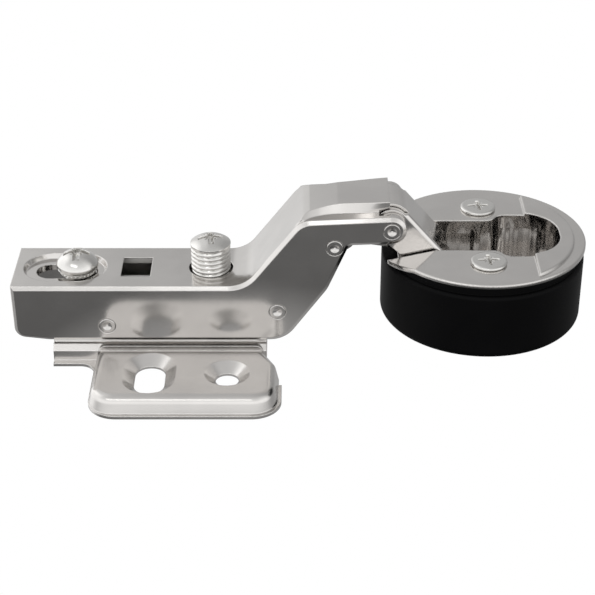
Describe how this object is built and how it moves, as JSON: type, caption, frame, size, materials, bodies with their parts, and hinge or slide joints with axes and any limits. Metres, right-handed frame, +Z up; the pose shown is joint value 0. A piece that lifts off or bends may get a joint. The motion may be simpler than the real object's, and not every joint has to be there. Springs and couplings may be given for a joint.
{
  "type": "concealed cup hinge",
  "caption": "Concealed cabinet hinge: cranked arm on a low mounting plate, four-bar links and a 35 mm cup in a black sleeve.",
  "frame": {"origin": "midway between the plate's two round screw holes, on the plate's underside", "axes": "+X along the arm towards the cup, +Y across the plate along the line of the screw holes, +Z up from the cabinet side"},
  "size_m": [0.099, 0.0498, 0.0303],
  "materials": {
    "nickel": "nickel-plated pressed steel, satin bright",
    "zinc": "zinc-plated steel",
    "bright_zinc": "bright plated screw",
    "pin_steel": "plain steel",
    "spring_steel": "spring wire",
    "damper_plastic": "moulded plastic",
    "black_plastic": "fine matte black plastic"
  },
  "bodies": {
    "plate": {"mounting_plate": "nickel"},
    "base": {"arm_base": "zinc"},
    "fixing_screw": {"fixing_screw": "bright_zinc"},
    "adjusting_screw": {"adjusting_screw": "bright_zinc"},
    "arm": {"hinge_arm": "nickel", "rear_pin": "pin_steel", "rocker_pin": "pin_steel", "inner_link_pin": "pin_steel", "outer_link_pin": "pin_steel", "link_washer_front": "pin_steel", "link_washer_rear": "pin_steel", "closing_spring": "spring_steel", "damper_cylinder": "damper_plastic"},
    "outer_link": {"outer_link": "nickel"},
    "cup": {"hinge_cup": "nickel", "expanding_sleeve": "black_plastic", "outer_link_axle": "pin_steel", "inner_link_axle": "pin_steel", "expander_nut_front": "zinc", "expander_nut_rear": "zinc"},
    "inner_link": {"inner_link": "nickel"},
    "rocker": {"damper_rocker": "damper_plastic"},
    "damper_piston": {"damper_rod": "pin_steel", "damper_yoke": "damper_plastic"},
    "cup_screw_front": {"cup_screw_front": "bright_zinc"},
    "cup_screw_rear": {"cup_screw_rear": "bright_zinc"}
  },
  "joints": [
    {"name": "depth_slide", "type": "slide", "parent": "plate", "child": "base", "axis": [1, 0, 0], "range_m": [-0.0005, 0.0045]},
    {"name": "arm_tilt", "type": "hinge", "parent": "base", "child": "arm", "pos_m": [-0.021, 0, 0.00755], "axis": [0, -1, 0], "range_deg": [-1, 1.5]},
    {"name": "fixing_screw_turn", "type": "hinge", "parent": "plate", "child": "fixing_screw", "pos_m": [-0.02645, 0, 0.01], "axis": [0, 0, 1], "range_deg": [-360, 360]},
    {"name": "adjusting_screw_turn", "type": "hinge", "parent": "base", "child": "adjusting_screw", "pos_m": [-0.0031, 0, 0.01], "axis": [0, 0, 1], "range_deg": [-160, 235]},
    {"name": "outer_link_swing", "type": "hinge", "parent": "arm", "child": "outer_link", "pos_m": [0.0279, 0, 0.026], "axis": [0, -1, 0], "range_deg": [0, 17.95]},
    {"name": "cup_fold", "type": "hinge", "parent": "outer_link", "child": "cup", "pos_m": [0.0357, 0, 0.0138], "axis": [0, -1, 0], "range_deg": [0, 72.07]},
    {"name": "inner_link_swing", "type": "hinge", "parent": "cup", "child": "inner_link", "pos_m": [0.03455, 0, 0.0184], "axis": [0, -1, 0], "range_deg": [-98.45, 0]},
    {"name": "rocker_swing", "type": "hinge", "parent": "arm", "child": "rocker", "pos_m": [0.00853, 0, 0.01037], "axis": [0, -1, 0], "range_deg": [0, 11.55]},
    {"name": "damper_stroke", "type": "slide", "parent": "arm", "child": "damper_piston", "axis": [-1, 0, 0], "range_m": [0, 0.00061]},
    {"name": "cup_screw_front_turn", "type": "hinge", "parent": "cup", "child": "cup_screw_front", "pos_m": [0.0441, -0.01, 0.015], "axis": [0, 0, 1], "range_deg": [-360, 360]},
    {"name": "cup_screw_rear_turn", "type": "hinge", "parent": "cup", "child": "cup_screw_rear", "pos_m": [0.0441, 0.01, 0.015], "axis": [0, 0, 1], "range_deg": [-360, 360]}
  ],
  "couplings": [
    {"joint": "outer_link_swing", "follows": "cup_fold", "ratio": 0.24879},
    {"joint": "inner_link_swing", "follows": "cup_fold", "ratio": -1.3653},
    {"joint": "rocker_swing", "follows": "cup_fold", "ratio": 0.15957},
    {"joint": "damper_stroke", "follows": "cup_fold", "m_per_rad": 0.000477}
  ]
}
